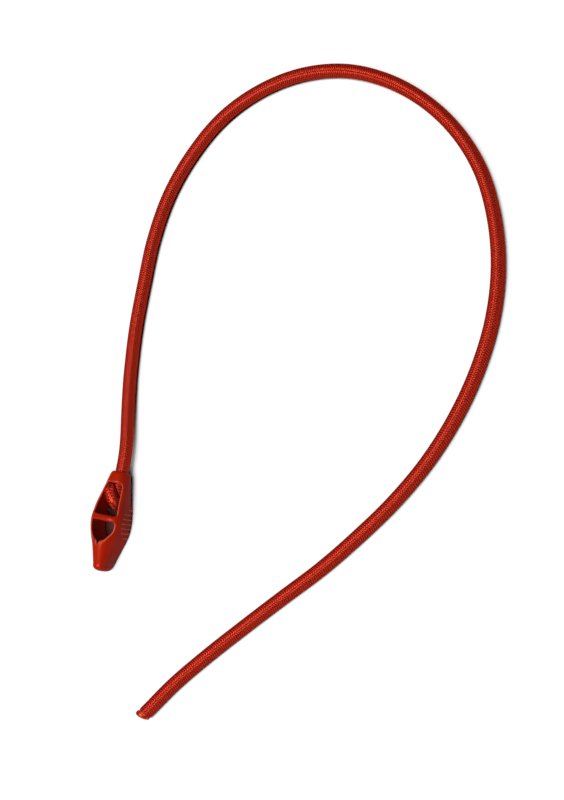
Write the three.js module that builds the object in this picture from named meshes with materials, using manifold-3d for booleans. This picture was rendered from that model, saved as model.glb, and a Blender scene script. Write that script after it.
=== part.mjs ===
// A bungee cord: a length of braided shock cord with a moulded plastic hook on one end.
// Millimetres, +Z up. The hook lies flat on its back, its nose towards -Y and its neck towards +Y,
// with the origin under its middle. The cord leaves the neck, comes down to the floor and lies there
// in one open loop.

import * as THREE from 'three';
import { mergeVertices } from 'three/addons/utils/BufferGeometryUtils.js';
import Module from 'manifold-3d';

const wasm = await Module();
wasm.setup();

// Cord
const cordDiameter = 6;
const sheathWall = 0.5;
const coreClearance = 0.2;
const coreHeart = 0.5;
const threadGap = 0.25;
const innerThreads = 4;
const outerThreads = 12;
const sheathSides = 10;
const cordSteps = 44;
const floorGap = 0.1;
const jointGap = 0.3;

// Sealed tip: its length, and its radius at three places along it
const tipLength = 4.6;
const tipRootRadius = 2.88;
const tipFlareRadius = 3.25;
const tipFlareAt = 2.5;
const tipShoulderRadius = 2.4;
const tipShoulderAt = 4.1;
const tipProfileSteps = 8;
const tipSides = 12;

// Hook, measured from the mouth of its neck
const hookLength = 45;
const hookWidth = 15.8;
const hookDepth = 13.4;
const backFlat = 0.3;
const boreHeight = 4.9;
const boreClearance = 0.3;
const neckWall = 0.8;
const neckFront = 9.5;
const neckBack = 0.9;
const neckRim = 0.5;
const noseRound = 2.8;
const noseSquareness = 2.6;
const noseEndShare = 0.3;

// Fineness of the hook's skin
const hookSides = 32;
const sectionSteps = 80;
const bodySteps = 20;
const endSteps = 4;
const boreSides = 24;
const cornerSteps = 5;
const weldDistance = 1e-4;

// Windows through the hook
const neckLength = 5.6;
const chamberLength = 14.4;
const chamberTopWidth = 7.8;
const chamberBottomWidth = 12.2;
const chamberCorner = 1.8;
const crossbarWidth = 2.7;
const cleatLength = 8.6;
const cleatTopWidth = 12;
const cleatBellyAt = 4.1;
const cleatBellyWidth = 11;
const cleatBottomWidth = 4.4;
const cleatCorner = 1.6;
const notchDepth = 2.3;
const notchWidth = 1.9;

// Grip ribs on the flanks
const ribCount = 7;
const ribFirstAt = 16.4;
const ribPitch = 2.07;
const ribThickness = 0.7;
const ribProud = 0.4;
const ribFoot = 0.5;
const ribLength = 8;
const ribLens = 3.4;

// Knot
const knotCordDiameter = 5.2;
const knotSides = 10;
const knotStepsPerPoint = 3;
const knotClearance = 0.3;
const knotHeart = 4.2;
const knotHeartHeight = 5.6;
const knotHeartSides = 12;
const knotHeartRings = 8;
const knotMiddle = 6;
const knotStretch = 5;

// Places worked out from the sizes
const neckMouth = hookLength / 2;
const noseAt = hookLength - noseRound;
const chamberTop = neckLength;
const chamberBottom = chamberTop + chamberLength;
const cleatTop = chamberBottom + crossbarWidth;
const cleatBottom = cleatTop + cleatLength;
const cordRestHeight = cordDiameter / 2 + floorGap;
const throughCut = hookDepth * 3;
const boreRadius = cordDiameter / 2 + boreClearance;
const neckWidth = (boreRadius + neckWall) * 2;
const coreRadius = cordDiameter / 2 - sheathWall - coreClearance;
const threadSize = (coreRadius * Math.cos(Math.PI / outerThreads / 2) - coreHeart - threadGap) / 2;
const innerRing = coreHeart + threadSize / 2;
const outerRing = innerRing + threadSize + threadGap;

// Route of the cord from the neck's mouth: sideways, along, and how much of the bore's height is left
const cordRoute = [
  [0, 6, 1], [-1.1, 14, 0.8], [-3.2, 23, 0.5], [-5.4, 33, 0.2], [-7.2, 43, 0],
  [-9.3, 64, 0], [-9.7, 85, 0], [-9.3, 106, 0], [-5.6, 127, 0], [2.3, 146, 0],
  [14.3, 163.5, 0], [30.8, 176.7, 0], [50.2, 185, 0], [71, 187.6, 0], [91.8, 184.2, 0],
  [111.3, 176, 0], [128.4, 163.8, 0], [142.2, 148, 0], [151.8, 129, 0], [157.4, 109, 0],
  [159, 88, 0], [156.6, 67, 0], [151, 46.6, 0], [142.6, 27.2, 0], [131.6, 9.2, 0],
  [118.7, -7.6, 0], [105, -23.5, 0], [90, -38.6, 0], [75.2, -53.7, 0], [60.6, -69, 0],
  [46.8, -84.6, 0], [36.8, -98, 0],
];

// Route of the cord through the knot, from the chamber's top: sideways, down, towards the front
const knotRoute = [
  [0, 0.6, 0], [0.5, 2.2, 0.3], [1.4, 4.8, 0.4], [1.6, 7.4, -0.3], [0.2, 9, -1.3],
  [-1.6, 7.8, -1.7], [-2.4, 5.2, -1], [-2.7, 3, 1], [-2.2, 3.4, 2.9], [-0.7, 6, 3.4],
  [1.2, 8.4, 3], [2.2, 9.2, 1], [2.3, 7.6, -1.4], [0.3, 4.8, -1.7], [-1, 4.6, 0.3],
  [-1.3, 6.2, 1.2], [-1.2, 7.6, 0.6],
];

// Sections of the hook: the place from the mouth, the widths and the heights at the front and the back,
// and how square the front and the back are, where 2 is round
const sectionSizes = ['frontWidth', 'backWidth', 'front', 'back', 'frontSquare', 'backSquare'];
const hookSections = [
  [0, neckWidth, neckWidth, neckFront, neckBack, 2, 2],
  [10, 13.2, 11.4, 11.3, 0.4, 2.4, 4],
  [17, 15.6, 13.4, 12.7, -backFlat, 2.9, 8],
  [24, hookWidth, 15.4, hookDepth, -backFlat, 3, 8],
  [30, 12.6, 14.2, 13.3, -backFlat, 2.5, 8],
  [34, 9.9, 11.6, 12.8, -backFlat, 2.2, 8],
  [noseAt, 7.4, 5.4, 10.4, 0.4, 2.2, 6],
];

// Materials
const redPlastic = { color: 0xa51c08, roughness: 0.42, metalness: 0 };
const redBraid = { color: 0xb92010, roughness: 0.75, metalness: 0 };
const meltedBraid = { color: 0x8c1a0c, roughness: 0.5, metalness: 0 };
const paleRubber = { color: 0xd8c9a4, roughness: 0.8, metalness: 0 };

const bungee = new THREE.Group();

function addPiece(name, geometry, finish) {
  const mesh = new THREE.Mesh(geometry, new THREE.MeshStandardMaterial(finish));
  mesh.name = name;
  bungee.add(mesh);
}

// Turns a closed geometry into a solid that can be joined and cut
function toSolid(geometry) {
  const bare = geometry.clone();
  bare.deleteAttribute('normal');
  bare.deleteAttribute('uv');
  const merged = mergeVertices(bare, weldDistance);
  return new wasm.Manifold(new wasm.Mesh({
    numProp: 3,
    vertProperties: new Float32Array(merged.attributes.position.array),
    triVerts: new Uint32Array(merged.index.array),
  }));
}

function toGeometry(solid) {
  const mesh = solid.getMesh();
  const geometry = new THREE.BufferGeometry();
  geometry.setAttribute('position', new THREE.BufferAttribute(mesh.vertProperties, 3));
  geometry.setIndex(new THREE.BufferAttribute(mesh.triVerts, 1));
  geometry.computeVertexNormals();
  return geometry;
}

// Closed polygon with its flats at the given radius, a flat first
function flatPolygon(radius, sides) {
  const corner = radius / Math.cos(Math.PI / sides);
  const points = [];
  for (let i = 0; i < sides; i += 1) {
    const angle = (2 * i + 1) * Math.PI / sides;
    points.push(new THREE.Vector2(corner * Math.cos(angle), corner * Math.sin(angle)));
  }
  return points;
}

// Closed shape whose corners are rounded off, each over the same distance
function roundedShape(points, corner) {
  const shape = new THREE.Shape();
  points.forEach((point, i) => {
    const before = points[(i + points.length - 1) % points.length];
    const after = points[(i + 1) % points.length];
    const start = before.clone().sub(point).setLength(corner).add(point);
    const end = after.clone().sub(point).setLength(corner).add(point);
    if (i === 0) shape.moveTo(start.x, start.y);
    else shape.lineTo(start.x, start.y);
    shape.quadraticCurveTo(point.x, point.y, end.x, end.y);
  });
  shape.closePath();
  return shape;
}

// Joins rings of points into one closed skin, with a flat fan over each end
function loft(rings) {
  const sides = rings[0].length;
  const positions = [];
  const indices = [];
  rings.forEach((ring) => ring.forEach((point) => positions.push(point.x, point.y, point.z)));
  for (let r = 0; r + 1 < rings.length; r += 1) {
    for (let i = 0; i < sides; i += 1) {
      const next = (i + 1) % sides;
      const a = r * sides + i;
      const b = r * sides + next;
      const c = a + sides;
      const d = b + sides;
      indices.push(a, b, c, b, d, c);
    }
  }
  [0, rings.length - 1].forEach((r) => {
    const centre = new THREE.Vector3();
    rings[r].forEach((point) => centre.addScaledVector(point, 1 / sides));
    const hub = positions.length / 3;
    positions.push(centre.x, centre.y, centre.z);
    for (let i = 0; i < sides; i += 1) {
      const a = r * sides + i;
      const b = r * sides + (i + 1) % sides;
      if (r === 0) indices.push(hub, b, a);
      else indices.push(hub, a, b);
    }
  });
  const geometry = new THREE.BufferGeometry();
  geometry.setAttribute('position', new THREE.Float32BufferAttribute(positions, 3));
  geometry.setIndex(indices);
  return geometry;
}

// Smooth curves through the sizes of the hook's sections
const sectionCurves = {};
sectionSizes.forEach((size, i) => {
  const points = hookSections.map((section) => new THREE.Vector2(section[0], section[i + 1]));
  sectionCurves[size] = new THREE.SplineCurve(points).getPoints(sectionSteps);
});

// One size of the hook's section at a distance from the neck's mouth
function sizeAt(size, station) {
  const curve = sectionCurves[size];
  const next = Math.max(curve.findIndex((point) => point.x >= station), 1);
  const a = curve[next - 1];
  const b = curve[next];
  return THREE.MathUtils.mapLinear(station, a.x, b.x, a.y, b.y);
}

// One ring of the hook, whose width and squareness change from its back to its front
function hookRing(station, { wider = 0, inset = 0, scale = 1 } = {}) {
  const like = Math.min(station, noseAt);
  const front = sizeAt('front', like);
  const back = sizeAt('back', like);
  const halfDepth = (front - back) / 2 * scale - inset;
  const ring = [];
  for (let i = 0; i < hookSides; i += 1) {
    const angle = (i / hookSides) * 2 * Math.PI;
    const across = Math.cos(angle);
    const up = Math.sin(angle);
    const power = 2 / sizeAt(up > 0 ? 'frontSquare' : 'backSquare', like);
    const height = Math.sign(up) * Math.abs(up) ** power;
    const width = THREE.MathUtils.lerp(
      sizeAt('backWidth', like),
      sizeAt('frontWidth', like),
      (height + 1) / 2,
    );
    ring.push(new THREE.Vector3(
      (width / 2 * scale + wider - inset) * Math.sign(across) * Math.abs(across) ** power,
      neckMouth - station,
      (front + back) / 2 + halfDepth * height,
    ));
  }
  return ring;
}

// Hook before its windows are cut, with a rounded rim at the neck and a rounded nose
function hookBlank() {
  const rings = [];
  for (let i = 0; i < endSteps; i += 1) {
    const turn = (i / endSteps) * Math.PI / 2;
    rings.push(hookRing(neckRim * (1 - Math.cos(turn)), { inset: neckRim * (1 - Math.sin(turn)) }));
  }
  for (let i = 0; i <= bodySteps; i += 1) {
    rings.push(hookRing(THREE.MathUtils.lerp(neckRim, noseAt, i / bodySteps)));
  }
  const lastTurn = Math.acos(noseEndShare ** (noseSquareness / 2));
  const bulge = 2 / noseSquareness;
  for (let i = 1; i <= endSteps; i += 1) {
    const turn = (i / endSteps) * lastTurn;
    const station = noseAt + noseRound * (Math.sin(turn) / Math.sin(lastTurn)) ** bulge;
    rings.push(hookRing(station, { scale: Math.cos(turn) ** bulge }));
  }
  return toSolid(loft(rings));
}

// Slice of the hook that stands proud of both flanks, longest for the rib in the middle of the pad
function ribSlice(index) {
  const station = ribFirstAt + index * ribPitch;
  const offCentre = (index - (ribCount - 1) / 2) / ribLens;
  const length = ribLength * Math.sqrt(1 - offCentre ** 2);
  const near = hookRing(station - ribThickness / 2, { wider: ribProud });
  const far = hookRing(station + ribThickness / 2, { wider: ribProud });
  const band = new THREE.BoxGeometry(hookWidth * 2, ribThickness * 4, length);
  band.translate(0, neckMouth - station, ribFoot + length / 2);
  return toSolid(loft([near, far])).intersect(toSolid(band));
}

// Cutter that goes right through the hook from front to back
function throughCutter(shape) {
  const cutter = new THREE.ExtrudeGeometry(shape, {
    depth: throughCut,
    bevelEnabled: false,
    curveSegments: cornerSteps,
  });
  cutter.translate(0, 0, boreHeight - throughCut / 2);
  return cutter;
}

// Knot chamber in plan, drawn in from its walls by a margin
function chamberShape(margin) {
  const top = chamberTopWidth / 2 - margin;
  const bottom = chamberBottomWidth / 2 - margin;
  const topAt = neckMouth - chamberTop - margin;
  const bottomAt = neckMouth - chamberBottom + margin;
  return roundedShape([
    new THREE.Vector2(-top, topAt),
    new THREE.Vector2(-bottom, bottomAt),
    new THREE.Vector2(bottom, bottomAt),
    new THREE.Vector2(top, topAt),
  ], chamberCorner);
}

// Cleat window in plan: wide at the crossbar, bellied, and drawn in towards the notch
function cleatShape() {
  const bellyAt = neckMouth - cleatTop - cleatBellyAt;
  return roundedShape([
    new THREE.Vector2(-cleatTopWidth / 2, neckMouth - cleatTop),
    new THREE.Vector2(-cleatBellyWidth / 2, bellyAt),
    new THREE.Vector2(-cleatBottomWidth / 2, neckMouth - cleatBottom),
    new THREE.Vector2(cleatBottomWidth / 2, neckMouth - cleatBottom),
    new THREE.Vector2(cleatBellyWidth / 2, bellyAt),
    new THREE.Vector2(cleatTopWidth / 2, neckMouth - cleatTop),
  ], cleatCorner);
}

// V notch below the cleat window, which grips the cord
function notchShape() {
  const mouth = neckMouth - cleatBottom;
  return new THREE.Shape([
    new THREE.Vector2(-notchWidth / 2, mouth + cleatCorner),
    new THREE.Vector2(-notchWidth / 2, mouth),
    new THREE.Vector2(0, mouth - notchDepth),
    new THREE.Vector2(notchWidth / 2, mouth),
    new THREE.Vector2(notchWidth / 2, mouth + cleatCorner),
  ]);
}

function hookBody() {
  let solid = hookBlank();
  for (let i = 0; i < ribCount; i += 1) {
    solid = solid.add(ribSlice(i));
  }
  const aboveFloor = new THREE.BoxGeometry(hookWidth * 2, hookLength * 2, hookDepth * 2);
  aboveFloor.translate(0, 0, hookDepth);
  const bore = new THREE.CylinderGeometry(boreRadius, boreRadius, neckLength * 2, boreSides);
  bore.translate(0, neckMouth, boreHeight);
  solid = solid.intersect(toSolid(aboveFloor));
  solid = solid.subtract(toSolid(bore));
  solid = solid.subtract(toSolid(throughCutter(chamberShape(0))));
  solid = solid.subtract(toSolid(throughCutter(cleatShape())));
  solid = solid.subtract(toSolid(throughCutter(notchShape())));
  return toGeometry(solid);
}

// Path of the cord, from the top of the chamber through the bore to the sealed tip
function cordPath() {
  const points = [new THREE.Vector3(0, neckMouth - chamberTop, boreHeight)];
  cordRoute.forEach(([across, along, rise]) => {
    const height = THREE.MathUtils.lerp(cordRestHeight, boreHeight, rise);
    points.push(new THREE.Vector3(across, neckMouth + along, height));
  });
  return new THREE.CatmullRomCurve3(points);
}

function alongCord(shape, path) {
  return new THREE.ExtrudeGeometry(shape, { steps: cordSteps, extrudePath: path, bevelEnabled: false });
}

function sheath(path) {
  const shape = new THREE.Shape(flatPolygon(cordDiameter / 2, sheathSides));
  shape.holes.push(new THREE.Path(flatPolygon(cordDiameter / 2 - sheathWall, sheathSides).reverse()));
  return alongCord(shape, path);
}

// Square rubber thread in a ring of equal threads round the cord's middle
function thread(path, radius, angle) {
  const half = threadSize / 2;
  const corners = [[-half, -half], [half, -half], [half, half], [-half, half]];
  const middle = new THREE.Vector2();
  const points = corners.map(([out, round]) => (
    new THREE.Vector2(radius + out, round).rotateAround(middle, angle)
  ));
  return alongCord(new THREE.Shape(points), path);
}

// Melted end of the cord: a short cap, flared at its rim and rounded off
function sealedTip(path) {
  const profile = new THREE.SplineCurve([
    new THREE.Vector2(tipRootRadius, 0),
    new THREE.Vector2(tipFlareRadius, tipFlareAt),
    new THREE.Vector2(tipShoulderRadius, tipShoulderAt),
    new THREE.Vector2(0, tipLength),
  ]).getPoints(tipProfileSteps);
  const cap = new THREE.LatheGeometry([new THREE.Vector2(0, 0), ...profile], tipSides);
  const direction = path.getTangentAt(1);
  const place = path.getPointAt(1).addScaledVector(direction, jointGap);
  place.z = tipFlareRadius + floorGap;
  cap.applyQuaternion(new THREE.Quaternion().setFromUnitVectors(new THREE.Vector3(0, 1, 0), direction));
  cap.translate(place.x, place.y, place.z);
  return cap;
}

// Overhand knot, pulled tight: lengths of its cord joined into one lump, pressed in by the chamber
function stopperKnot() {
  const places = knotRoute.map(([across, down, front]) => (
    new THREE.Vector3(across, neckMouth - chamberTop - down, boreHeight + front)
  ));
  const heart = new THREE.SphereGeometry(knotHeart, knotHeartSides, knotHeartRings);
  heart.translate(0, neckMouth - chamberTop - knotMiddle, knotHeartHeight);
  let solid = toSolid(heart);
  const section = new THREE.Shape(flatPolygon(knotCordDiameter / 2, knotSides));
  for (let first = 0; first + 1 < places.length; first += knotStretch) {
    const stretch = new THREE.CatmullRomCurve3(places.slice(first, first + knotStretch + 2));
    const steps = knotStepsPerPoint * (stretch.points.length - 1);
    const length = new THREE.ExtrudeGeometry(section, { steps, extrudePath: stretch, bevelEnabled: false });
    solid = solid.add(toSolid(length));
  }
  return toGeometry(solid.intersect(toSolid(throughCutter(chamberShape(knotClearance)))));
}

const path = cordPath();
addPiece('hook_body', hookBody(), redPlastic);
addPiece('stopper_knot', stopperKnot(), redBraid);
addPiece('braided_sheath', sheath(path), redBraid);
for (let i = 0; i < innerThreads; i += 1) {
  const angle = (i / innerThreads) * 2 * Math.PI;
  addPiece(`rubber_thread_inner_${i + 1}`, thread(path, innerRing, angle), paleRubber);
}
for (let i = 0; i < outerThreads; i += 1) {
  const angle = (i / outerThreads) * 2 * Math.PI;
  addPiece(`rubber_thread_outer_${i + 1}`, thread(path, outerRing, angle), paleRubber);
}
addPiece('sealed_tip', sealedTip(path), meltedBraid);

export default bungee;
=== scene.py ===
"""Looks of a bungee cord: braided shock cord in one open loop, with a moulded plastic hook knotted onto it.

Sizes at the top are in millimetres, as in the part's source, unless another unit is given.
Every mesh is made in millimetres and scaled to metres.
"""

import math

import bpy
import numpy as np
from mathutils import Matrix, Vector


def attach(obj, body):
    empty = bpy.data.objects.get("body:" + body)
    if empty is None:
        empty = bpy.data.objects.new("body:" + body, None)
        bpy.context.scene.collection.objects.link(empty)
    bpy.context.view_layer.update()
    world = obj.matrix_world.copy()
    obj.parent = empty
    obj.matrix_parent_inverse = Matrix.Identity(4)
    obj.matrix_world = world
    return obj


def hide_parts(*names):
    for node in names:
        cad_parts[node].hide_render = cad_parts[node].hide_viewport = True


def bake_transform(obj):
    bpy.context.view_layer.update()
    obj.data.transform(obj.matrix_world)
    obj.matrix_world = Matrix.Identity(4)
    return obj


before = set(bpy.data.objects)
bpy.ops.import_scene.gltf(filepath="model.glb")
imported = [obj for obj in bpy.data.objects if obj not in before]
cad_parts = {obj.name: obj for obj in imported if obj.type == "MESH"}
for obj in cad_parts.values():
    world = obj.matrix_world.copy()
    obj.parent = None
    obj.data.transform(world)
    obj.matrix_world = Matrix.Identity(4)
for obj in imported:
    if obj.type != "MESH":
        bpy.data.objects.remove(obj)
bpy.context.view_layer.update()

MM = 0.001
square_corners = [(-1, -1), (1, -1), (1, 1), (-1, 1)]

# Cord
cord_diameter = 6
floor_gap = 0.1
joint_gap = 0.3
bore_height = 4.9
neck_mouth = 22.5
neck_length = 5.6
cord_sample = 0.5

# Route of the cord from the neck's mouth: sideways, along, and how much of the bore's height is left
cord_route = [
    (0, 6, 1), (-1.1, 14, 0.8), (-3.2, 23, 0.5), (-5.4, 33, 0.2), (-7.2, 43, 0),
    (-9.3, 64, 0), (-9.7, 85, 0), (-9.3, 106, 0), (-5.6, 127, 0), (2.3, 146, 0),
    (14.3, 163.5, 0), (30.8, 176.7, 0), (50.2, 185, 0), (71, 187.6, 0), (91.8, 184.2, 0),
    (111.3, 176, 0), (128.4, 163.8, 0), (142.2, 148, 0), (151.8, 129, 0), (157.4, 109, 0),
    (159, 88, 0), (156.6, 67, 0), (151, 46.6, 0), (142.6, 27.2, 0), (131.6, 9.2, 0),
    (118.7, -7.6, 0), (105, -23.5, 0), (90, -38.6, 0), (75.2, -53.7, 0), (60.6, -69, 0),
    (46.8, -84.6, 0), (36.8, -98, 0),
]

# Route of the cord through the knot, from the chamber's top: sideways, down, towards the front
knot_route = [
    (0, 0.6, 0), (0.5, 2.2, 0.3), (1.4, 4.8, 0.4), (1.6, 7.2, -0.3), (0.2, 8.4, -1.3),
    (-1.6, 7.8, -1.7), (-2.4, 5.2, -1), (-2.5, 3, 1), (-1.7, 3.2, 2.9), (-0.1, 5.7, 3.6),
    (1.6, 7.9, 3), (2.2, 8.7, 1), (2.3, 7.6, -1.4), (0.3, 4.8, -1.7), (-1, 4.6, 0.3),
    (-1.3, 6.2, 1.2), (-1.2, 7.6, 0.6),
]

# Braid: stitches stand in columns along the cord, and each column leans against its neighbours.
# On one stitch, along and across run from -1 to 1, and the powers say how square its dome is
braid_columns = 12
stitch_pitch = 1.04
stitch_lean = math.radians(22)
stitch_reach = 0.62
stitch_half_width = 0.48
stitch_crown = 0.42
stitch_along = (-1, -0.72, -0.3, 0.3, 0.72, 1)
stitch_across = (-1, -0.8, -0.3, 0.3, 0.8, 1)
stitch_along_power = 6
stitch_across_power = 4
ground_sides = 24
ground_depth = 0.32
ground_uv = 0.5
yarn_uvs = "yarn"

# Knot, whose braid is opened by its tight bends
knot_cord_diameter = 6.2
knot_pitch = 1.2
knot_half_width = 0.4
knot_columns = 10
knot_sample = 0.3
knot_wall_gap = 0.15
knot_slip = 2.5

# Rubber core: two rings of square threads round an open heart
core_heart = 0.5
thread_size = 0.7734
thread_gap = 0.25
inner_threads = 4
outer_threads = 12
thread_sample = 3

# Sealed tip: its radius at places along it, and the waves round it that make its lumps.
# Each wave has its count round the tip, its start, its twist along the tip and its share
tip_length = 4.6
tip_profile = [
    (0, 2.6), (2.2, 2.6), (2.7, 3.0), (3.4, 3.2), (4.0, 3.1), (4.4, 2.6), (4.55, 1.6), (tip_length, 0),
]
tip_waves = [(3, 0.7, 0, 1), (5, 0, 2.1, 0.7), (9, 0, -1.3, 0.5)]
tip_lump = 0.16
tip_least_radius = 0.01
tip_sleeve = 2.9
tip_slant = -0.4
tip_rows = 24
tip_sides = 48

# Hook, measured from the mouth of its neck
hook_length = 45
hook_width = 15.8
hook_depth = 13.4
back_flat = 0.3
bore_clearance = 0.3
neck_wall = 0.8
neck_front = 9.5
neck_back = 0.9
neck_rim = 1.8
nose_round = 2.8
nose_squareness = 2.6

# Windows through the hook
chamber_length = 14.4
chamber_top_width = 7.8
chamber_bottom_width = 12.2
chamber_corner = 1.8
crossbar_width = 2.7
cleat_length = 8.6
cleat_top_width = 12
cleat_belly_at = 4.1
cleat_belly_width = 11
cleat_bottom_width = 4.4
cleat_corner = 1.6
notch_depth = 2.3
notch_width = 1.9
window_lip = 1.3
notch_lip = 0.4
back_lip = 0.6

# Grip ribs on the flanks
rib_count = 7
rib_first_at = 16.4
rib_pitch = 2.07
rib_thickness = 0.7
rib_proud = 0.4
rib_foot = 0.5
rib_length = 8
rib_lens = 3.4
rib_round = 0.2

# Fineness of the curves and of the hook's skin, how the skin is evened, and the least slope to divide by
curve_steps = 40
skin_step = 0.18
skin_margin = 0.6
even_share = 0.5
even_rounds = 3
least_slope = 0.05

# Painted highlight on outer edges: the bend of the surface, in radians per millimetre, where the painted
# highlight starts and where it is full
highlight_bend_from = 0.9
highlight_bend_full = 2.4
edge_name = "edge"

# Colours, as linear red, green and blue
black = (0, 0, 0)
white = (1, 1, 1)
# Yarn: painted shade at the edges of stitches and between them, and a painted highlight on their crowns
yarn_painted_shade = (0.35, 0.007, 0.003)
yarn_painted_highlight = (0.6, 0.062, 0.031)
yarn_sheen = (0.6, 0.3, 0.2)
plastic_dark = (0.32, 0.01, 0.001)
plastic_light = (0.37, 0.013, 0.0015)
# Painted highlight colour for the hook's outer edges, in place of light caught on rounded lips and ribs
plastic_edge_highlight = (0.5, 0.075, 0.042)
rubber_dark = (0.58, 0.49, 0.33)
rubber_light = (0.7, 0.6, 0.42)
melted_sheen = (1, 0.5, 0.32)
melted_colours = [(0.4, (0.2, 0.003, 0.001)), (0.58, (0.36, 0.01, 0.003)), (0.68, (0.7, 0.12, 0.04))]

# Patterns in the materials: how fine they are, per metre, and where their two tones lie
yarn_tone_fineness = 700
plastic_cloud_fineness = 120
plastic_gloss_fineness = 400
plastic_grain_fineness = 5000
melted_blotch_fineness = 420
melted_lump_fineness = 1100
rubber_dust_fineness = 900
pattern_low = 0.3
pattern_high = 0.7

# Tones of the yarn and of the plastic's gloss, and where a stitch's colour rises and falls over it: a painted
# highlight on its crown and painted shade towards its edges
yarn_least_tone = 0.6
plastic_least_roughness = 0.27
plastic_most_roughness = 0.34
fade_along = (0.02, 0.3, 0.7, 0.98)
fade_across = (0.05, 0.4, 0.6, 0.95)

# Floor, in metres: its tones, and the openness above it where its painted shadow is still dark and where it
# is white
floor_half_width = 3
floor_seen = 0.95
floor_returned = 0.45
floor_glow = 0.7
floor_painted_shadow = (0.06, 0.01, 0.005)
floor_shade_reach = 0.02
painted_shadow_until = 0.38
floor_white_from = 0.52

# Light, in metres and watts
lamp_place = Vector((-0.15, -0.7, 3.8))
lamp_aim = Vector((0.07, 0.07, 0))
lamp_size = 2.4
lamp_power = 215
sky_strength = 0.05

# Camera: where it stands and looks, in metres, and how far the picture's upright leans from +Y
camera_place = Vector((0.3863, 0.0258, 0.5704))
camera_aim = Vector((0.0719, 0.0654, 0.0031))
camera_lean = math.radians(12.5)
focal_pixels = 1529.4
picture_height = 800
sensor_height = 36

# Places worked out from the sizes
cord_rest_height = cord_diameter / 2 + floor_gap
nose_at = hook_length - nose_round
chamber_bottom = neck_length + chamber_length
cleat_top = chamber_bottom + crossbar_width
cleat_bottom = cleat_top + cleat_length
bore_radius = cord_diameter / 2 + bore_clearance
neck_width = (bore_radius + neck_wall) * 2
inner_ring = core_heart + thread_size / 2
outer_ring = inner_ring + thread_size + thread_gap
core_rings = [(inner_threads, inner_ring), (outer_threads, outer_ring)]

# Sections of the hook: the place from the mouth, the widths and the heights at the front and the back,
# and how square the front and the back are, where 2 is round
hook_sections = [
    (0, neck_width, neck_width, neck_front, neck_back, 2, 2),
    (10, 13.2, 11.4, 11.3, 0.4, 2.4, 4),
    (17, 15.6, 13.4, 12.7, -back_flat, 2.9, 8),
    (24, hook_width, 15.4, hook_depth, -back_flat, 3, 8),
    (30, 12.6, 14.2, 13.3, -back_flat, 2.5, 8),
    (34, 9.9, 11.6, 12.8, -back_flat, 2.2, 8),
    (nose_at, 7.4, 5.4, 10.4, 0.4, 2.2, 6),
]

# Half widths of the windows at places along the hook
chamber_halves = [(neck_length, chamber_top_width / 2), (chamber_bottom, chamber_bottom_width / 2)]
cleat_halves = [
    (cleat_top, cleat_top_width / 2),
    (cleat_top + cleat_belly_at, cleat_belly_width / 2),
    (cleat_bottom, cleat_bottom_width / 2),
]


# Meshes

def add_mesh(name, points, faces, material, uvs=None, smooth=True):
    """A new object from points in millimetres and faces of three or four corners."""
    mesh = bpy.data.meshes.new(name)
    faces = [np.asarray(group, dtype=np.int32) for group in faces]
    corners = np.concatenate([group.ravel() for group in faces])
    sizes = np.concatenate([np.full(len(group), group.shape[1], dtype=np.int32) for group in faces])
    starts = np.concatenate([[0], np.cumsum(sizes)[:-1]]).astype(np.int32)
    mesh.vertices.add(len(points))
    mesh.vertices.foreach_set("co", (np.asarray(points) * MM).astype(np.float32).ravel())
    mesh.loops.add(len(corners))
    mesh.loops.foreach_set("vertex_index", corners)
    mesh.polygons.add(len(sizes))
    mesh.polygons.foreach_set("loop_start", starts)
    mesh.polygons.foreach_set("use_smooth", np.full(len(sizes), smooth))
    if uvs is not None:
        layer = mesh.uv_layers.new(name=yarn_uvs)
        layer.data.foreach_set("uv", np.asarray(uvs, dtype=np.float32)[corners].ravel())
    mesh.update(calc_edges=True)
    mesh.validate()
    mesh.materials.append(material)
    obj = bpy.data.objects.new(name, mesh)
    bpy.context.scene.collection.objects.link(obj)
    return obj


def grid_faces(rows, sides, closed=True):
    """Four-cornered faces between rows of points, where a closed row goes round once."""
    row = np.arange(rows - 1)[:, None]
    side = np.arange(sides if closed else sides - 1)[None, :]
    after = (side + 1) % sides
    a = row * sides + side
    b = row * sides + after
    return np.stack([a, b, b + sides, a + sides], axis=-1).reshape(-1, 4)


def unit(vectors):
    """Vectors of length 1 in the same directions."""
    return vectors / np.linalg.norm(vectors, axis=-1, keepdims=True)


# Lines

def hermite(start, end, start_speed, end_speed, steps):
    """Points on a cubic curve from a start up to its end, which is left out, with given speeds at both."""
    t = np.linspace(0, 1, steps, endpoint=False)[:, None]
    bulge = t * t * (3 - 2 * t)
    return (start + bulge * (end - start) + (t - 2 * t**2 + t**3) * start_speed
            + (t**3 - t**2) * end_speed)


def smooth_line(points, sample):
    """Evenly spaced points on a smooth curve through a route's points, and the length of the curve."""
    route = np.array(points, dtype=float)
    route = np.vstack([2 * route[0] - route[1], route, 2 * route[-1] - route[-2]])
    parts = []
    for p0, p1, p2, p3 in zip(route, route[1:], route[2:], route[3:]):
        d0, d1, d2 = (math.sqrt(np.linalg.norm(b - a)) for a, b in ((p0, p1), (p1, p2), (p2, p3)))
        start_speed = ((p1 - p0) / d0 - (p2 - p0) / (d0 + d1) + (p2 - p1) / d1) * d1
        end_speed = ((p2 - p1) / d1 - (p3 - p1) / (d1 + d2) + (p3 - p2) / d2) * d1
        parts.append(hermite(p1, p2, start_speed, end_speed, curve_steps))
    parts.append(route[-2:-1])
    line = np.vstack(parts)
    along = np.concatenate([[0], np.cumsum(np.linalg.norm(np.diff(line, axis=0), axis=1))])
    places = np.linspace(0, along[-1], max(2, round(along[-1] / sample)) + 1)
    return np.stack([np.interp(places, along, line[:, i]) for i in range(3)], axis=1), along[-1]


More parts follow.
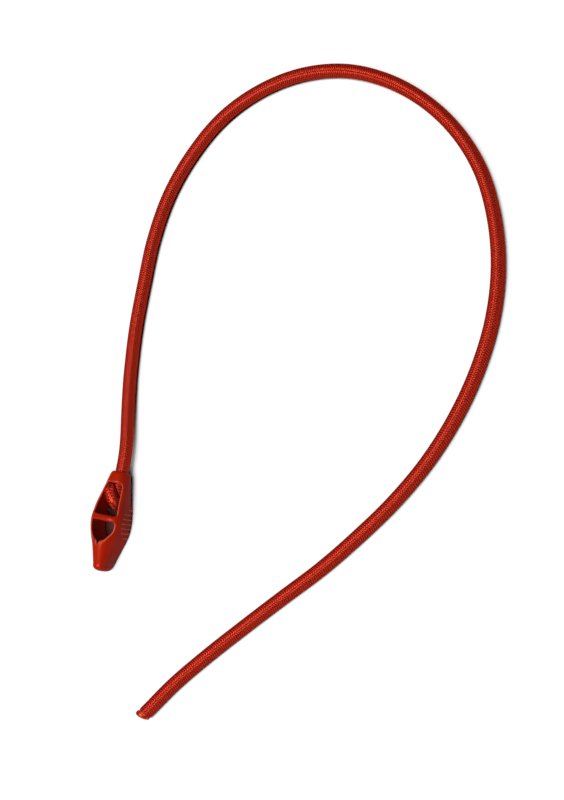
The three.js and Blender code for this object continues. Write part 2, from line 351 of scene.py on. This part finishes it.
def line_frames(line):
    """At each point of a line, its direction and two directions across it, which turn as little as they can.

    The line must not start straight up, because the first direction across it is level.
    """
    ahead = unit(np.gradient(line, axis=0))
    side = np.zeros_like(line)
    side[0] = unit(np.cross((0, 0, 1), ahead[0]))
    for i in range(1, len(line)):
        side[i] = side[i - 1] - ahead[i] * np.dot(side[i - 1], ahead[i])
        side[i] /= np.linalg.norm(side[i])
    return ahead, side, np.cross(ahead, side)


def around(line, frames, length, at, angle, radius):
    """Points at a distance along a line, at an angle round it and a radius from it."""
    where = np.clip(np.asarray(at, dtype=float) / length, 0, 1) * (len(line) - 1)
    low = np.minimum(where.astype(int), len(line) - 2)
    part = (where - low)[..., None]
    centre, side, up = (a[low] * (1 - part) + a[low + 1] * part for a in (line, frames[1], frames[2]))
    return centre + radius[..., None] * (np.cos(angle)[..., None] * side + np.sin(angle)[..., None] * up)


# Cord, core, knot and tip

def braid(line, length, radius, columns, pitch, half_width):
    """A braided tube: a plain ground tube, and over it one domed patch for each stitch that shows."""
    frames = line_frames(line)
    rows = int(length / pitch)
    column_angle = 2 * math.pi / columns
    lean = math.tan(stitch_lean) * column_angle * radius * stitch_reach
    v, u = np.meshgrid(stitch_across, stitch_along, indexing="ij")
    row, column = np.meshgrid(np.arange(rows), np.arange(columns), indexing="ij")
    row = row[..., None, None]
    column = column[..., None, None]
    odd = column % 2
    hand = 1 - 2 * odd
    at = (row + (1 + odd) / 2 + v * half_width) * pitch + hand * u * lean
    off_middle = u * stitch_reach * column_angle
    angle = column * column_angle + off_middle
    dome = (1 - u**stitch_along_power) * (1 - v**stitch_across_power)
    out = radius / np.cos(off_middle) - stitch_crown * (1 - dome)
    stitches = around(line, frames, length, at, angle, out).reshape(-1, 3)
    patch = grid_faces(len(stitch_across), len(stitch_along), closed=False)
    stitch_faces = (np.arange(rows * columns)[:, None, None] * u.size + patch).reshape(-1, 4)
    stitch_uvs = np.tile((np.stack([u.ravel(), v.ravel()], axis=1) + 1) / 2, (rows * columns, 1))
    turn = np.linspace(0, 2 * math.pi, ground_sides, endpoint=False)
    ground_at, ground_angle = np.meshgrid(np.linspace(0, length, len(line)), turn, indexing="ij")
    ground_out = np.full(ground_at.shape, radius - ground_depth)
    ground = around(line, frames, length, ground_at, ground_angle, ground_out).reshape(-1, 3)
    ground_faces = grid_faces(len(line), ground_sides) + len(stitches)
    points = np.vstack([stitches, ground])
    uvs = np.vstack([stitch_uvs, np.full((len(ground), 2), ground_uv)])
    return points, [stitch_faces, ground_faces], uvs


def core_mesh(route):
    """Square threads along the cord's route, each closed at both ends."""
    line, length = smooth_line(route, thread_sample)
    frames = line_frames(line)
    square = np.array(square_corners) * thread_size / 2
    order = np.arange(len(square))
    places = np.linspace(0, length, len(line))
    points = []
    faces = []
    start = 0
    for count, ring in core_rings:
        corners = square + (ring, 0)
        out = np.hypot(corners[:, 0], corners[:, 1])
        for i in range(count):
            turn = np.arctan2(corners[:, 1], corners[:, 0]) + i / count * 2 * math.pi
            at, angle = np.meshgrid(places, turn, indexing="ij")
            thread = around(line, frames, length, at, angle, out).reshape(-1, 3)
            last = start + len(thread) - len(square)
            points.append(thread)
            faces.append(grid_faces(len(line), len(square)) + start)
            faces.append([start + order[::-1]])
            faces.append([last + order])
            start += len(thread)
    return np.vstack(points), faces


def knot_mesh():
    """The knotted cord, pressed in by the chamber's walls, off the floor and clear of the crossbar's slip."""
    chamber_top = neck_mouth - neck_length
    places = [(across, chamber_top - down, bore_height + front) for across, down, front in knot_route]
    line, length = smooth_line(places, knot_sample)
    points, faces, uvs = braid(
        line, length, knot_cord_diameter / 2, knot_columns, knot_pitch, knot_half_width)
    room = np.interp(neck_mouth - points[:, 1], *zip(*chamber_halves)) - knot_wall_gap
    foot = neck_mouth - chamber_bottom + knot_slip + knot_wall_gap
    points[:, 0] = np.clip(points[:, 0], -room, room)
    points[:, 1] = np.clip(points[:, 1], foot, chamber_top - knot_wall_gap)
    points[:, 2] = np.maximum(points[:, 2], knot_wall_gap)
    return points, faces, uvs


def tip_mesh(line):
    """Melted yarn at the end of the cord's line, lumpy, a little flared and cut at a slant."""
    ahead, side, up = (axes[-1] for axes in line_frames(line))
    centre = line[-1] + ahead * joint_gap
    at = np.linspace(0, tip_length, tip_rows)
    turn = np.linspace(0, 2 * math.pi, tip_sides, endpoint=False)
    at, turn = np.meshgrid(at, turn, indexing="ij")
    lumps = sum(share * np.sin(count * turn + start + twist * at) for count, start, twist, share in tip_waves)
    shares = sum(share for count, start, twist, share in tip_waves)
    swell = np.sin(at / tip_length * math.pi)
    out = np.interp(at, *zip(*tip_profile)) + tip_lump * lumps / shares * swell - tip_lump / 2
    out = np.maximum(out, tip_least_radius)
    at = at + tip_slant * out * np.cos(turn) * at / tip_length
    across = np.cos(turn)[..., None] * side + np.sin(turn)[..., None] * up
    points = centre + at[..., None] * ahead + out[..., None] * across
    points[..., 2] = np.maximum(points[..., 2], floor_gap)
    return points.reshape(-1, 3), [grid_faces(tip_rows, tip_sides)]


# Hook as a field: negative inside the plastic, and about the distance in millimetres near its surface

def profile(*points):
    """A smooth curve through a few stations and sizes, as two lists."""
    points = np.array(points, dtype=float)
    points = np.vstack([points[:1], points, points[-1:]])
    parts = []
    for p0, p1, p2, p3 in zip(points, points[1:], points[2:], points[3:]):
        parts.append(hermite(p1, p2, (p2 - p0) / 2, (p3 - p1) / 2, curve_steps))
    line = np.vstack(parts + [points[-1:]])
    return line[:, 0], line[:, 1]


section_places, *section_sizes = zip(*hook_sections)
section_curves = [profile(*zip(section_places, sizes)) for sizes in section_sizes]


def smooth_max(a, b, radius):
    """The larger of two fields, with the crease between them rounded."""
    near = np.maximum(radius - np.abs(a - b), 0) / radius
    return np.maximum(a, b) + near**2 * radius / 4


def smooth_min(a, b, radius):
    """The smaller of two fields, with the crease between them rounded."""
    return -smooth_max(-a, -b, radius)


def body_field(x, station, z, wider=0):
    """Hook without its windows, whose width and squareness change from its back to its front."""
    like = np.clip(station, 0, nose_at)
    front_width, back_width, front, back, front_square, back_square = (
        np.interp(like, *curve) for curve in section_curves)
    height = (z - (front + back) / 2) * 2 / (front - back)
    power = np.where(height > 0, front_square, back_square)
    half_width = (back_width + (front_width - back_width) * np.clip((height + 1) / 2, 0, 1)) / 2 + wider
    size = ((np.abs(x) / half_width)**power + np.abs(height)**power)**(1 / power)
    past_nose = np.maximum(station - nose_at, 0) / nose_round
    field = (size**nose_squareness + past_nose**nose_squareness)**(1 / nose_squareness) - 1
    slope = np.sqrt(sum(g**2 for g in np.gradient(field, skin_step)))
    return field / np.maximum(slope, least_slope)


def window_field(x, station, half_widths, corner):
    """A window in plan, from its half widths at a few places along it: negative in the opening."""
    places, halves = profile(*half_widths)
    sides = np.abs(x) - np.interp(station, places, halves)
    ends = np.maximum(places[0] - station, station - places[-1])
    return smooth_max(sides, ends, corner)


def hook_field(x, station, z):
    """Hook with its ribs, its two windows, the notch and the bore."""
    solid = body_field(x, station, z)
    ribbed = body_field(x, station, z, rib_proud)
    for i in range(rib_count):
        rib_at = rib_first_at + i * rib_pitch
        off_centre = (i - (rib_count - 1) / 2) / rib_lens
        half_length = rib_length * math.sqrt(1 - off_centre**2) / 2
        bar = smooth_max(ribbed, np.abs(station - rib_at) - rib_thickness / 2, rib_round)
        bar = smooth_max(bar, np.abs(z - rib_foot - half_length) - half_length, rib_round)
        solid = smooth_min(solid, bar, rib_round)
    solid = smooth_max(solid, -station, neck_rim)
    solid = smooth_max(solid, -z, back_lip)
    chamber = window_field(x, station, chamber_halves, chamber_corner)
    cleat = window_field(x, station, cleat_halves, cleat_corner)
    notch_half = notch_width / 2 * np.minimum((cleat_bottom + notch_depth - station) / notch_depth, 1)
    notch = np.maximum(np.abs(x) - notch_half, cleat_bottom - cleat_corner - station)
    bore = np.maximum(np.hypot(x, z - bore_height) - bore_radius, station - neck_length - window_lip)
    solid = smooth_max(solid, -chamber, window_lip)
    solid = smooth_max(solid, -cleat, window_lip)
    solid = smooth_max(solid, -notch, notch_lip)
    return smooth_max(solid, -bore, notch_lip)


def skin(field, low, step):
    """Four-cornered faces over the places where a field on a regular grid changes sign."""
    cells = tuple(n - 1 for n in field.shape)
    number = np.full(cells, -1)
    sums = np.zeros(cells + (3,))
    hits = np.zeros(cells)
    axes = np.eye(3, dtype=int)
    crossings = []
    for axis in range(3):
        first = np.moveaxis(field, axis, 0)[:-1]
        second = np.moveaxis(field, axis, 0)[1:]
        places = np.argwhere(np.moveaxis((first < 0) != (second < 0), 0, axis))
        start = field[tuple(places.T)]
        end = field[tuple((places + axes[axis]).T)]
        points = places + np.outer(start / (start - end), axes[axis])
        side_a = axes[(axis + 1) % 3]
        side_b = axes[(axis + 2) % 3]
        ring = []
        for back_a, back_b in ((1, 1), (0, 1), (0, 0), (1, 0)):
            cell = places - back_a * side_a - back_b * side_b
            np.add.at(sums, tuple(cell.T), points)
            np.add.at(hits, tuple(cell.T), 1)
            ring.append(cell)
        crossings.append((ring, start < 0))
    used = hits > 0
    number[used] = np.arange(used.sum())
    vertices = sums[used] / hits[used][:, None] * step + low
    faces = []
    for ring, leaving in crossings:
        quads = np.stack([number[tuple(cell.T)] for cell in ring], axis=1)
        faces.append(np.where(leaving[:, None], quads, quads[:, ::-1]))
    return vertices, [np.vstack(faces)]


def edge_highlight_share(field, places):
    """How much of an outer edge each place is, from how sharply the field bends there, which sets its painted
    highlight.
    """
    ahead = np.stack(np.gradient(field, skin_step))
    ahead /= np.maximum(np.linalg.norm(ahead, axis=0), least_slope)
    bend = sum(np.gradient(ahead[i], skin_step, axis=i) for i in range(3))
    for axis in range(3):
        bend = (np.roll(bend, 1, axis) + bend + np.roll(bend, -1, axis)) / 3
    return np.clip((bend[tuple(places.T)] - highlight_bend_from) / (highlight_bend_full - highlight_bend_from), 0, 1)


def hook_mesh():
    """The hook's skin, and how much painted edge highlight each of its points gets."""
    half = hook_width / 2 + rib_proud + skin_margin
    xs = np.arange(-half, half, skin_step)
    ys = np.arange(-neck_mouth - skin_margin, neck_mouth + skin_margin, skin_step)
    zs = np.arange(-skin_margin, hook_depth + skin_margin, skin_step)
    x, y, z = np.meshgrid(xs, ys, zs, indexing="ij")
    field = hook_field(x, neck_mouth - y, z)
    low = np.array([xs[0], ys[0], zs[0]])
    points, faces = skin(field, low, skin_step)
    return points, faces, edge_highlight_share(field, np.rint((points - low) / skin_step).astype(int))


# Materials

def grey(value):
    return (value, value, value)


def opaque(colour):
    return (*colour, 1)


class Shader:
    """A new material with its node tree, and short ways to add nodes to it."""

    # A mix node's colour entries and result share their names with others, so they are found by place
    mix_entries = (0, 6, 7)
    mix_result = 2

    def __init__(self, name):
        self.material = bpy.data.materials.new(name)
        self.material.use_nodes = True
        self.nodes = self.material.node_tree.nodes
        self.surface = self.nodes["Principled BSDF"]

    def feed(self, value, entry):
        """Another node's output, or else a plain value, for an entry."""
        if isinstance(value, bpy.types.NodeSocket):
            self.material.node_tree.links.new(value, entry)
        else:
            entry.default_value = value

    def fill(self, node, values):
        """Values for a node's entries, named with an underscore for each space, or for its settings."""
        for name, value in values.items():
            entry = name.replace("_", " ")
            if entry in node.inputs:
                self.feed(value, node.inputs[entry])
            else:
                setattr(node, name, value)

    def set(self, **values):
        self.fill(self.surface, values)

    def add(self, kind, **values):
        node = self.nodes.new(kind)
        self.fill(node, values)
        return node

    def noise(self, fineness, detail):
        place = self.add("ShaderNodeTexCoord").outputs["Object"]
        return self.add("ShaderNodeTexNoise", Vector=place, Scale=fineness, Detail=detail).outputs["Fac"]

    def ramp(self, value, stops):
        """Colours at the given places between 0 and 1."""
        node = self.add("ShaderNodeValToRGB", Fac=value)
        marks = node.color_ramp.elements
        for place, colour in stops[1:-1]:
            marks.new(place)
        for mark, (place, colour) in zip(marks, stops):
            mark.position = place
            mark.color = opaque(colour)
        return node.outputs["Color"]

    def tones(self, pattern, first, second):
        """Two colours, for the low and the high parts of a pattern."""
        return self.ramp(pattern, [(pattern_low, first), (pattern_high, second)])

    def fade(self, value, places):
        """A rise from black to white and a fall back to black, between four places."""
        return self.ramp(value, list(zip(places, (black, white, white, black))))

    def math(self, operation, first, second):
        node = self.add("ShaderNodeMath", operation=operation)
        self.feed(first, node.inputs[0])
        self.feed(second, node.inputs[1])
        return node.outputs[0]

    def mix(self, share, first, second, blend="MIX"):
        node = self.add("ShaderNodeMix", data_type="RGBA", blend_type=blend)
        for value, place in zip((share, first, second), self.mix_entries):
            self.feed(value, node.inputs[place])
        return node.outputs[self.mix_result]

    def multiply(self, first, second):
        return self.mix(1, first, second, "MULTIPLY")

    def bump(self, height, strength, depth):
        node = self.add("ShaderNodeBump", Height=height, Strength=strength, Distance=depth * MM)
        return node.outputs["Normal"]


def braid_material():
    shader = Shader("red_braid")
    place = shader.add("ShaderNodeTexCoord").outputs["UV"]
    apart = shader.add("ShaderNodeSeparateXYZ", Vector=place)
    # Each stitch is painted lighter on its crown as a highlight and darker towards its edges as shade
    along = shader.fade(apart.outputs["X"], fade_along)
    across = shader.fade(apart.outputs["Y"], fade_across)
    tone = shader.tones(shader.noise(yarn_tone_fineness, detail=2), grey(yarn_least_tone), white)
    stitch_painted_light = shader.multiply(shader.multiply(along, across), tone)
    yarn = shader.add(
        "ShaderNodeTexWave", bands_direction="Y", Vector=place, Scale=2.6, Distortion=1.2, Detail_Scale=3)
    fibres = shader.add("ShaderNodeTangent", direction_type="UV_MAP", uv_map=yarn_uvs)
    shader.set(
        Base_Color=shader.ramp(stitch_painted_light, [(0, yarn_painted_shade), (1, yarn_painted_highlight)]),
        Normal=shader.bump(yarn.outputs["Fac"], strength=0.35, depth=0.06),
        Tangent=fibres.outputs["Tangent"],
        Metallic=0.78,
        Roughness=0.44,
        Anisotropic=0.3,
        Anisotropic_Rotation=0.25,
        Specular_IOR_Level=0,
        Specular_Tint=opaque(yarn_sheen),
    )
    return shader.material


def plastic_material():
    shader = Shader("red_plastic")
    colour = shader.tones(shader.noise(plastic_cloud_fineness, detail=3), plastic_dark, plastic_light)
    # The edge attribute paints a highlight along the hook's outer edges
    edge = shader.add("ShaderNodeAttribute", attribute_name=edge_name)
    gloss = shader.noise(plastic_gloss_fineness, detail=4)
    grain = shader.noise(plastic_grain_fineness, detail=2)
    shader.set(
        Base_Color=shader.mix(edge.outputs["Fac"], colour, opaque(plastic_edge_highlight)),
        Roughness=shader.tones(gloss, grey(plastic_least_roughness), grey(plastic_most_roughness)),
        Normal=shader.bump(grain, strength=0.12, depth=0.03),
        Metallic=0.07,
        Specular_IOR_Level=0,
        Coat_Weight=0.15,
        Coat_Roughness=0.28,
        Coat_IOR=1.5,
    )
    return shader.material


def melted_material():
    shader = Shader("melted_braid")
    blotch = shader.noise(melted_blotch_fineness, detail=4)
    lumps = shader.noise(melted_lump_fineness, detail=3)
    shader.set(
        Base_Color=shader.ramp(blotch, melted_colours),
        Normal=shader.bump(lumps, strength=0.5, depth=0.2),
        Roughness=0.36,
        IOR=1.15,
        Specular_IOR_Level=0.9,
        Specular_Tint=opaque(melted_sheen),
    )
    return shader.material


def rubber_material():
    shader = Shader("natural_rubber")
    dust = shader.noise(rubber_dust_fineness, detail=3)
    shader.set(Base_Color=shader.tones(dust, rubber_dark, rubber_light), Roughness=0.8)
    return shader.material


def floor_material():
    """White where it is seen, grey to the light that it returns, and a dark painted shadow close under and
    beside the object.
    """
    shader = Shader("pale_floor")
    rays = shader.add("ShaderNodeLightPath")
    seen = shader.math("ADD", rays.outputs["Is Camera Ray"], rays.outputs["Is Glossy Ray"])
    seen = shader.math("ADD", seen, rays.outputs["Is Transmission Ray"])
    # Painted shadow: the floor darkens and stops glowing where little is open above it, close to the object
    openness = shader.add("ShaderNodeAmbientOcclusion", Distance=floor_shade_reach).outputs["AO"]
    pale = shader.ramp(openness, [(painted_shadow_until, floor_painted_shadow), (floor_white_from, grey(floor_seen))])
    shader.set(Base_Color=shader.mix(seen, opaque(grey(floor_returned)), pale), Roughness=0.9)
    lit = shader.ramp(openness, [(painted_shadow_until, black), (floor_white_from, grey(floor_glow))])
    glow = shader.add("ShaderNodeEmission", Strength=1)
    mixer = shader.add("ShaderNodeMixShader")
    layers = (shader.math("MULTIPLY", lit, seen), shader.surface.outputs[0], glow.outputs[0])
    for value, entry in zip(layers, mixer.inputs):
        shader.feed(value, entry)
    shader.feed(mixer.outputs[0], shader.nodes["Material Output"].inputs["Surface"])
    return shader.material


red_braid = braid_material()
red_plastic = plastic_material()
melted_braid = melted_material()
natural_rubber = rubber_material()

# Camera
back = (camera_place - camera_aim).normalized()
upright = Vector((-math.sin(camera_lean), math.cos(camera_lean), 0))
right = upright.cross(back).normalized()
turned = Matrix((right, back.cross(right), back)).transposed().to_4x4()
camera_data = bpy.data.cameras.new("camera")
camera_data.sensor_fit = "VERTICAL"
camera_data.sensor_height = sensor_height
camera_data.lens = focal_pixels / picture_height * sensor_height
camera = bpy.data.objects.new("camera", camera_data)
camera.matrix_world = Matrix.Translation(camera_place) @ turned
bpy.context.scene.collection.objects.link(camera)
bpy.context.scene.camera = camera

# Cord, whose braid runs on over the first part of the tip
route = [(0, neck_mouth - neck_length, bore_height)]
for across, along, rise in cord_route:
    height = cord_rest_height + (bore_height - cord_rest_height) * rise
    route.append((across, neck_mouth + along, height))
cord_line, cord_length = smooth_line(route, cord_sample)
cord_end = unit(cord_line[-1] - cord_line[-2])
sleeve_steps = np.arange(cord_sample, tip_sleeve, cord_sample)
sleeve_line = np.vstack([cord_line, cord_line[-1] + np.outer(sleeve_steps, cord_end)])
sleeve_length = cord_length + sleeve_steps[-1]
cord_points, cord_faces, cord_uvs = braid(
    sleeve_line, sleeve_length, cord_diameter / 2, braid_columns, stitch_pitch, stitch_half_width)
cord = add_mesh("braided_cord", cord_points, cord_faces, red_braid, cord_uvs)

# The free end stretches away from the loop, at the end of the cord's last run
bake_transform(cord)
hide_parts("braided_sheath")

# Rubber core
core = add_mesh("rubber_core", *core_mesh(route), natural_rubber, smooth=False)
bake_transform(core)
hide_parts(*[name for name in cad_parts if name.startswith("rubber_thread")])

# Knot
knot_points, knot_faces, knot_uvs = knot_mesh()
knot = add_mesh("stopper_knot_braid", knot_points, knot_faces, red_braid, knot_uvs)
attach(knot, "knot")
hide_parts("stopper_knot")

# Sealed tip
tip = add_mesh("melted_tip", *tip_mesh(cord_line), melted_braid)
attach(tip, "free_end")
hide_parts("sealed_tip")

# Hook
hook_points, hook_faces, hook_edge_highlights = hook_mesh()
hook = add_mesh("moulded_hook", hook_points, hook_faces, red_plastic)
# Share of painted highlight on the outer edges, read by the plastic's colour
hook.data.attributes.new(edge_name, "FLOAT", "POINT").data.foreach_set("value", hook_edge_highlights)
even = hook.modifiers.new("even", "SMOOTH")
even.factor = even_share
even.iterations = even_rounds
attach(hook, "hook")
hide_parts("hook_body")

# Floor
floor_corners = [(x * floor_half_width, y * floor_half_width, 0) for x, y in square_corners]
floor_data = bpy.data.meshes.new("floor")
floor_data.from_pydata(floor_corners, [], [list(range(len(floor_corners)))])
floor_data.materials.append(floor_material())
floor = bpy.data.objects.new("floor", floor_data)
bpy.context.scene.collection.objects.link(floor)

# Light
world = bpy.data.worlds.new("studio")
bpy.context.scene.world = world
world.use_nodes = True
sky = world.node_tree.nodes["Background"]
sky.inputs["Color"].default_value = opaque(white)
sky.inputs["Strength"].default_value = sky_strength

lamp_data = bpy.data.lights.new("softbox", "AREA")
lamp_data.shape = "RECTANGLE"
lamp_data.size = lamp_size
lamp_data.size_y = lamp_size
lamp_data.energy = lamp_power
lamp = bpy.data.objects.new("softbox", lamp_data)
lamp.location = lamp_place
lamp.rotation_euler = (lamp_aim - lamp_place).to_track_quat("-Z", "Y").to_euler()
bpy.context.scene.collection.objects.link(lamp)
bpy.context.scene.view_settings.view_transform = "Standard"
